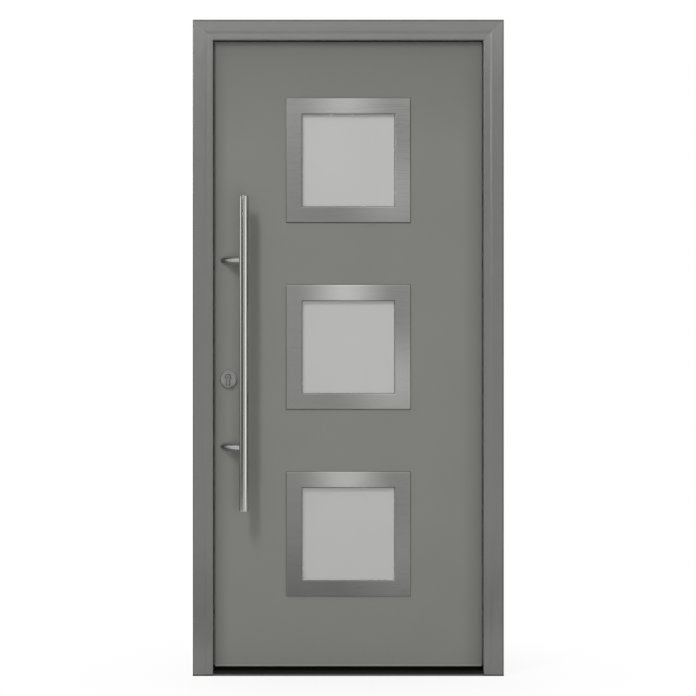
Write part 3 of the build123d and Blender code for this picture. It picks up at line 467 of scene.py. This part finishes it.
# Trim seals: thin lines of the black rubber that the outer trims are bedded on, squeezed out round both
# their edges. They keep water from creeping under the steel, and also stand as painted shade for the dark
# line round the trims.
WINDOW_HEIGHTS = {window: middle_of(f"{window}_outer_trim").z for window in ("lower", "middle", "upper")}
TRIM_HALF = corners_of("lower_outer_trim")[1].x
TRIM_FACE = corners_of("lower_outer_trim")[0].y
GLASS_HALF = 0.1500


def square_tube(shape, outline, height):
    """Square ring round a window: its outline of half sizes and depths, spun from corner to corner."""
    corners = [shape.verts.new((half, depth, height + half)) for half, depth in outline]
    sides = [shape.edges.new(pair) for pair in zip(corners, corners[1:] + corners[:1])]
    bmesh.ops.spin(
        shape,
        geom=corners + sides,
        cent=(0, 0, height),
        axis=(0, 1, 0),
        angle=2 * pi,
        steps=4,
        use_merge=True,
    )
    bmesh.ops.recalc_face_normals(shape, faces=shape.faces)


outer_seal_and_shade = [
    (TRIM_HALF, LEAF_FACE),
    (TRIM_HALF + 0.0009, LEAF_FACE),
    (TRIM_HALF + 0.0008, LEAF_FACE - 0.0008),
    (TRIM_HALF, LEAF_FACE - 0.0012),
]
inner_seal_and_shade = [
    (GLASS_HALF - 0.0001, LEAF_FACE - 0.0026),
    (GLASS_HALF - 0.0013, LEAF_FACE - 0.0020),
    (GLASS_HALF - 0.0013, LEAF_FACE),
    (GLASS_HALF - 0.0001, LEAF_FACE),
]
shape = bmesh.new()
for height in WINDOW_HEIGHTS.values():
    square_tube(shape, outer_seal_and_shade, height)
    square_tube(shape, inner_seal_and_shade, height)
dress(shape, "trim_seals_and_shade", "leaf", rubber)

# Plastic: feet under the jambs, base of the threshold and the thermal breaks between the shells.
# Moulded and extruded black polyamide with a dull spark-eroded surface.
plastic = new_finish("black_plastic", (0.006, 0.006, 0.006), roughness=0.70, mirror=0.12)
vary_colour(plastic, grain(plastic, 90.0), (0.003, 0.003, 0.003), (0.007, 0.007, 0.007))
emboss(plastic, grain(plastic, 1200.0), depth=0.00015)
finish_nodes(plastic, "jamb_feet", "threshold_base", "thermal_breaks")

# Threshold rail: black anodised aluminium extrusion on the plastic base, with drawn lines along its length.
# Its nose is painted paler along its foot, a painted light of the floor's bounce, and the tread and the
# upstand are painted darker, as painted shade under the leaf.
FOOT_PAINTED_LIGHT = (0.0072, 0.0060)
TREAD_PAINTED_SHADE = (0.0138, 0.0150)
threshold_metal = new_finish("threshold_metal", (0.010, 0.010, 0.010), roughness=0.60, mirror=0.05)
drawn_lines = grain(threshold_metal, 1.0, stretch=(3.0, 500.0, 500.0))
vary_colour(threshold_metal, drawn_lines, (0.008, 0.008, 0.008), (0.014, 0.014, 0.014))
# Painted light on the foot of the nose, then painted shade on the tread and upstand.
mix_tone(threshold_metal, ramp(threshold_metal, "Z", *FOOT_PAINTED_LIGHT), (0.085, 0.085, 0.083))
mix_tone(threshold_metal, ramp(threshold_metal, "Z", *TREAD_PAINTED_SHADE), (0.003, 0.003, 0.003))
vary_gloss(threshold_metal, grain(threshold_metal, 1.0, stretch=(5.0, 900.0, 900.0)), 0.46, 0.64)
finish_nodes(threshold_metal, "threshold_rail")

# Tread ribs: four low ribs on the sloping tread, drawn in one with the rail and of the same black anodised
# aluminium, so that the threshold isn't slippery.
TREAD_FRONT = -0.0320
TREAD_HEIGHT = 0.0152
TREAD_RIBS = 4
TREAD_RIB_PITCH = 0.0060
TREAD_RISE = 0.00038
TREAD_END_GAP = 0.0030
shape = bmesh.new()
for rib in range(TREAD_RIBS):
    front = TREAD_FRONT + TREAD_RIB_PITCH * rib
    foot = TREAD_HEIGHT + TREAD_RISE * rib
    rib_outline = [
        (front, foot),
        (front + 0.0007, foot + 0.0009),
        (front + 0.0023, foot + 0.0010),
        (front + 0.0030, foot),
    ]
    bar_across(shape, rib_outline, OPENING_HALF - TREAD_END_GAP)
dress(shape, "tread_ribs", "frame", threshold_metal)

# Corner cleats and pane spacers: bare aluminium with the dull skin that it has from the mill. The cleats
# are pressed into the mitred corners and the spacers glued between the panes, out of sight.
aluminium = new_finish("cast_aluminium", (0.55, 0.55, 0.55), roughness=0.45, metallic=1.0)
vary_gloss(aluminium, grain(aluminium, 120.0), 0.38, 0.58)
emboss(aluminium, grain(aluminium, 500.0), depth=0.0001)
finish_nodes(aluminium, "corner_cleats", "pane_spacers")

# Window trims: flat stainless squares on both faces of the leaf, cut from brushed sheet with the grain
# across, so that their bars run into each other without a mitre. Each outer trim's steel has its own tone
# and a painted highlight, palest in the middle of the top bar, with a weaker one low on the right bar.
GRAIN_ACROSS = (3.0, 900.0, 900.0)
# Per window: base tone, top and side painted highlight tones; base tones differ as painted light and shade.
TRIM_PAINTED_LIGHT_TONES = {
    "lower": (0.355, 0.72, 0.58),
    "middle": (0.355, 0.74, 0.80),
    "upper": (0.292, 0.46, 0.58),
}
TOP_HIGHLIGHT_SHIFT = 0.010
TOP_HIGHLIGHT_REACH = 0.165
SIDE_HIGHLIGHT_DROP = 0.110
SIDE_HIGHLIGHT_REACH = 0.220


def brushed_steel(name, colour, roughness, stretch, streak=0.10, brush=0.30):
    """Ground stainless steel: fine streaks along the grain in colour, gloss and relief."""
    steel = new_finish(name, colour, roughness, metallic=1.0)
    vary_colour(steel, grain(steel, 1.0, stretch, detail=4.0), *shades(colour, streak))
    vary_gloss(steel, grain(steel, 1.7, stretch, detail=4.0), roughness - streak, roughness + streak)
    emboss(steel, grain(steel, 2.3, stretch, detail=2.0), depth=0.00004, strength=brush)
    return steel


def steel_grey(tone):
    """Grey of the trims' steel, a touch warm."""
    return (tone, tone, 0.98 * tone)


def highlight_round(material, centre, reach, share):
    """A share at a point, falling smoothly to nought at the reach round it."""
    tree = material.node_tree
    place = tree.nodes.new("ShaderNodeTexCoord")
    about = tree.nodes.new("ShaderNodeMapping")
    about.inputs["Scale"].default_value = (1.0 / reach,) * 3
    about.inputs["Location"].default_value = [-along / reach for along in centre]
    ball = tree.nodes.new("ShaderNodeTexGradient")
    ball.gradient_type = "SPHERICAL"
    soft = tree.nodes.new("ShaderNodeMapRange")
    soft.interpolation_type = "SMOOTHSTEP"
    soft.inputs["To Max"].default_value = share
    tree.links.new(place.outputs["Object"], about.inputs["Vector"])
    tree.links.new(about.outputs["Vector"], ball.inputs["Vector"])
    tree.links.new(ball.outputs["Fac"], soft.inputs["Value"])
    return soft.outputs["Result"]


for window, height in WINDOW_HEIGHTS.items():
    tone, top_highlight_tone, side_highlight_tone = TRIM_PAINTED_LIGHT_TONES[window]
    trim_steel = brushed_steel(
        f"{window}_trim_steel", steel_grey(tone), 0.28, GRAIN_ACROSS, streak=0.02, brush=0.06
    )
    # Painted highlights: paler round a point on the top bar and, more weakly, low on the right bar.
    top_bar = (-TOP_HIGHLIGHT_SHIFT, TRIM_FACE, height + (TRIM_HALF + GLASS_HALF) / 2)
    top_highlight = highlight_round(trim_steel, top_bar, TOP_HIGHLIGHT_REACH, share=1.0)
    mix_tone(trim_steel, top_highlight, steel_grey(top_highlight_tone))
    right_bar = (GLASS_HALF, TRIM_FACE, height - SIDE_HIGHLIGHT_DROP)
    side_highlight = highlight_round(trim_steel, right_bar, SIDE_HIGHLIGHT_REACH, share=0.5)
    mix_tone(trim_steel, side_highlight, steel_grey(side_highlight_tone))
    finish_nodes(trim_steel, f"{window}_outer_trim")
inner_steel = brushed_steel("inner_trim_steel", (0.40, 0.40, 0.39), 0.34, GRAIN_ACROSS)
finish_nodes(inner_steel, "inner_trims")

# Glazing beads: narrow sloping beads of polished aluminium inside the outer trims, pressed against the
# glass, which mirrors in them.
PANE_FACE = corners_of("outer_panes")[0].y
bead_outline = [
    (GLASS_HALF - 0.0012, PANE_FACE - 0.0084),
    (GLASS_HALF - 0.0035, PANE_FACE - 0.0016),
    (GLASS_HALF - 0.0035, PANE_FACE - 0.0002),
    (GLASS_HALF - 0.0012, PANE_FACE - 0.0002),
]
bead_metal = new_finish("bead_metal", (0.74, 0.74, 0.73), roughness=0.26, metallic=0.7)
vary_gloss(bead_metal, grain(bead_metal, 90.0), 0.22, 0.30)
emboss(bead_metal, grain(bead_metal, 900.0), depth=0.00003)
shape = bmesh.new()
for height in WINDOW_HEIGHTS.values():
    square_tube(shape, bead_outline, height)
dress(shape, "glazing_beads", "leaf", bead_metal)

# Glazing: an acid-etched pane outside that scatters the light, and clear float panes behind it. The three
# are sealed to spacers at their edges and bedded in the rubber rings.
clear_glass = new_finish("clear_glass", (0.93, 0.96, 0.945), roughness=0.02)
shader_of(clear_glass).inputs["Transmission Weight"].default_value = 1.0
shader_of(clear_glass).inputs["IOR"].default_value = 1.5
vary_gloss(clear_glass, grain(clear_glass, 12.0), 0.005, 0.03)
finish_nodes(clear_glass, "middle_panes", "inner_panes")
frosted_glass = new_finish("frosted_glass", (0.503, 0.503, 0.497), roughness=0.60)
shader_of(frosted_glass).inputs["Transmission Weight"].default_value = 0.25
vary_colour(frosted_glass, grain(frosted_glass, 2.2), (0.484, 0.484, 0.478), (0.530, 0.530, 0.523))
emboss(frosted_glass, grain(frosted_glass, 1500.0), depth=0.00008, strength=0.5)
finish_nodes(frosted_glass, "outer_panes")

# Pull bar: a long stainless tube with pressed-in caps on two slanting arms, ground along its length
# and bolted through the leaf from inside.
GRAIN_UPRIGHT = (900.0, 900.0, 3.0)
ARM_GRAIN = (300.0, 300.0, 300.0)
bar_steel = brushed_steel("bar_steel", (0.55, 0.55, 0.544), 0.13, GRAIN_UPRIGHT, streak=0.06, brush=0.05)
arm_steel = brushed_steel("arm_steel", (0.62, 0.62, 0.614), 0.22, ARM_GRAIN, streak=0.05, brush=0.12)
finish_nodes(bar_steel, "pull_bar")
finish_nodes(arm_steel, "bar_caps", "lower_bracket", "upper_bracket", "handle_bolts")

# Lock furniture: turned stainless rosettes and lever and a nickel-plated key cylinder, which passes through
# the leaf and both its rosettes. The steel is painted paler from just inside the rosettes' rim outwards, a
# painted highlight that lifts the dark rims.
PAINTED_RIM_HIGHLIGHT = (0.0238, 0.0250)
FURNITURE_GRAIN = (260.0, 260.0, 260.0)
NICKEL_GRAIN = (400.0, 400.0, 400.0)


def rim_round(material, centre, start, end):
    """Nought to one between two distances from an axis that runs through the door."""
    tree = material.node_tree
    place = tree.nodes.new("ShaderNodeTexCoord")
    about = tree.nodes.new("ShaderNodeMapping")
    about.inputs["Location"].default_value = (-centre.x, 0.0, -centre.z)
    about.inputs["Scale"].default_value = (1.0, 0.0, 1.0)
    distance = tree.nodes.new("ShaderNodeVectorMath")
    distance.operation = "LENGTH"
    rise = tree.nodes.new("ShaderNodeMapRange")
    rise.inputs["From Min"].default_value = start
    rise.inputs["From Max"].default_value = end
    tree.links.new(place.outputs["Object"], about.inputs["Vector"])
    tree.links.new(about.outputs["Vector"], distance.inputs[0])
    tree.links.new(distance.outputs["Value"], rise.inputs["Value"])
    return rise.outputs["Result"]


furniture_steel = brushed_steel("furniture_steel", (0.34, 0.34, 0.335), 0.30, FURNITURE_GRAIN)
# Painted highlight: paler steel outside a circle just inside the rosette's rim, round the cylinder's axis.
rim_highlight = rim_round(furniture_steel, middle_of("outer_rosette"), *PAINTED_RIM_HIGHLIGHT)
mix_tone(furniture_steel, rim_highlight, (0.60, 0.60, 0.59))
finish_nodes(furniture_steel, "outer_rosette", "inner_rosette", "lever_rosette", "lever_handle")
nickel = brushed_steel("nickel_plated", (0.34, 0.335, 0.315), 0.25, NICKEL_GRAIN, streak=0.05, brush=0.15)
finish_nodes(nickel, "lock_cylinder", "cylinder_plug", "inner_plug")

# Cylinder collar: a thin black rubber ring on the outer rosette, cut to the cylinder's profile. It is
# painted shade, a dark ring that draws the cylinder's shadow as a dark line round it.
COLLAR_RADIUS = 0.0100
COLLAR_LEG = 0.0065
COLLAR_DROP = 0.0260
COLLAR_WIDTH = 0.0017
COLLAR_HEIGHT = 0.0008
LEG_ANGLE = asin(COLLAR_LEG / COLLAR_RADIUS)
plug_middle = middle_of("cylinder_plug")
collar_axis = Vector((plug_middle.x, corners_of("outer_rosette")[0].y, plug_middle.z))
leg_top = collar_axis + Vector((-COLLAR_LEG, 0.0, -COLLAR_RADIUS * cos(LEG_ANGLE)))
shape = bmesh.new()
bmesh.ops.spin(
    shape,
    geom=[shape.verts.new(leg_top)],
    cent=collar_axis,
    axis=(0, 1, 0),
    angle=2 * (pi - LEG_ANGLE),
    steps=36,
)
for side in (1, -1):
    shape.verts.new(collar_axis + Vector((side * COLLAR_LEG, 0.0, -COLLAR_DROP)))
plate = shape.faces.new(shape.verts[:])
plate.normal_update()
bmesh.ops.inset_individual(shape, faces=[plate], thickness=COLLAR_WIDTH)
bmesh.ops.delete(shape, geom=[plate], context="FACES")
grown = bmesh.ops.extrude_face_region(shape, geom=shape.faces[:])
raised = [item for item in grown["geom"] if isinstance(item, bmesh.types.BMVert)]
bmesh.ops.translate(shape, vec=(0, -COLLAR_HEIGHT, 0), verts=raised)
bmesh.ops.recalc_face_normals(shape, faces=shape.faces)
dress(shape, "cylinder_shade_ring", "leaf", rubber)

# Hinges: three stainless barrel hinges on the inner face, each a plate on the jamb and a plate on the leaf
# round a pin with round heads. They are ground along the barrel.
HINGE_PLACES = ("lower", "middle", "upper")
hinge_steel = brushed_steel("hinge_steel", (0.43, 0.43, 0.425), 0.30, GRAIN_UPRIGHT)
hinge_halves = [f"{place}_hinge_{owner}_half" for place in HINGE_PLACES for owner in ("frame", "leaf")]
finish_nodes(hinge_steel, "hinge_pins", *hinge_halves)

# Hinge screws: three low round-headed steel screws through each plate, with hexagon sockets. They hold the
# hinges to the jamb and to the leaf.
HINGE_PLATE_THICKNESS = 0.0040
HINGE_SCREW_PITCH = 0.042
HINGE_SCREW_RADIUS = 0.0050
HINGE_SCREW_HEIGHT = 0.0012
SCREW_GRAIN = (500.0, 500.0, 500.0)
FACING_IN = Matrix.Rotation(-pi / 2, 4, "X")


def ring(shape, place, corners, cuts, radius, cap):
    """Loop of edges on a circle or a polygon, with every side cut further."""
    known = set(shape.edges)
    bmesh.ops.create_circle(shape, cap_ends=cap, segments=corners, radius=radius, matrix=place)
    if cuts:
        sides = [edge for edge in shape.edges if edge not in known]
        bmesh.ops.subdivide_edges(shape, edges=sides, cuts=cuts)
    return [edge for edge in shape.edges if edge not in known]


def screw_head(shape, place, radius, height):
    """Low round head with a hexagon socket, standing on the plane of its place."""
    rings = [
        ring(shape, place @ Matrix.Translation((0, 0, up * height)), corners, cuts, share * radius, cap)
        for corners, cuts, share, up, cap in (
            (24, 0, 1.00, -0.5, False),
            (24, 0, 1.00, 0.3, False),
            (24, 0, 0.78, 1.0, False),
            (6, 3, 0.55, 1.0, False),
            (6, 3, 0.50, -0.4, True),
        )
    ]
    for one, other in zip(rings, rings[1:]):
        bmesh.ops.bridge_loops(shape, edges=one + other)
    bmesh.ops.recalc_face_normals(shape, faces=shape.faces)


screw_steel = brushed_steel("screw_steel", (0.45, 0.45, 0.45), 0.28, SCREW_GRAIN, streak=0.05, brush=0.1)
pin_low, pin_high = corners_of("hinge_pins")
frame_half_low, frame_half_high = corners_of("lower_hinge_frame_half")
leaf_half_low = corners_of("lower_hinge_leaf_half")[0]
plate_middles = {
    "frame": (pin_high.x + frame_half_high.x) / 2,
    "leaf": (leaf_half_low.x + pin_low.x) / 2,
}
plate_face = frame_half_low.y + HINGE_PLATE_THICKNESS
for body, across in plate_middles.items():
    shape = bmesh.new()
    for hinge in HINGE_PLACES:
        height = middle_of(f"{hinge}_hinge_{body}_half").z
        for offset in (-HINGE_SCREW_PITCH, 0.0, HINGE_SCREW_PITCH):
            spot = Matrix.Translation((across, plate_face, height + offset))
            screw_head(shape, spot @ FACING_IN, HINGE_SCREW_RADIUS, HINGE_SCREW_HEIGHT)
    dress(shape, f"{body}_hinge_screws", body, screw_steel)

# Lock: cases, bolts, rod and strikes of pressed and milled steel, zinc plated, with the faint bloom of the
# plating. The cases are let into the lock stile behind their faceplate.
zinc = new_finish("lock_steel", (0.50, 0.51, 0.52), roughness=0.36, metallic=1.0)
vary_colour(zinc, grain(zinc, 30.0), (0.44, 0.45, 0.47), (0.56, 0.56, 0.55))
vary_gloss(zinc, grain(zinc, 90.0), 0.28, 0.44)
emboss(zinc, grain(zinc, 800.0), depth=0.00004)
finish_nodes(
    zinc,
    "lock_case",
    "auxiliary_lock_cases",
    "lock_faceplate",
    "latch_bolt",
    "deadbolt",
    "side_bolts",
    "drive_rod",
    "follower",
    "lever_spindle",
    "cylinder_cam",
    "strikes",
)

# Lock screws: small low-headed steel screws with hexagon sockets, like those of the hinges. They hold the
# faceplate in the leaf's edge and the strikes on the jamb.
LOCK_SCREW_RADIUS = 0.0042
LOCK_SCREW_HEIGHT = 0.0006
FACEPLATE_SCREWS = (0.257, 0.600, 0.925, 1.125, 1.470, 1.817)
STRIKE_SCREWS = (0.2855, 0.3375, 0.9620, 1.0300, 1.0980, 1.7360, 1.7880)
lock_middle = middle_of("lock_faceplate").y
edge_screws = {
    "faceplate_screws": ("leaf", corners_of("lock_faceplate")[0].x, -1, FACEPLATE_SCREWS),
    "strike_screws": ("frame", corners_of("strikes")[1].x, 1, STRIKE_SCREWS),
}
for name, (body, across, way, heights) in edge_screws.items():
    sideways = Matrix.Rotation(way * pi / 2, 4, "Y")
    shape = bmesh.new()
    for height in heights:
        spot = Matrix.Translation((across, lock_middle, height))
        screw_head(shape, spot @ sideways, LOCK_SCREW_RADIUS, LOCK_SCREW_HEIGHT)
    dress(shape, name, body, screw_steel)
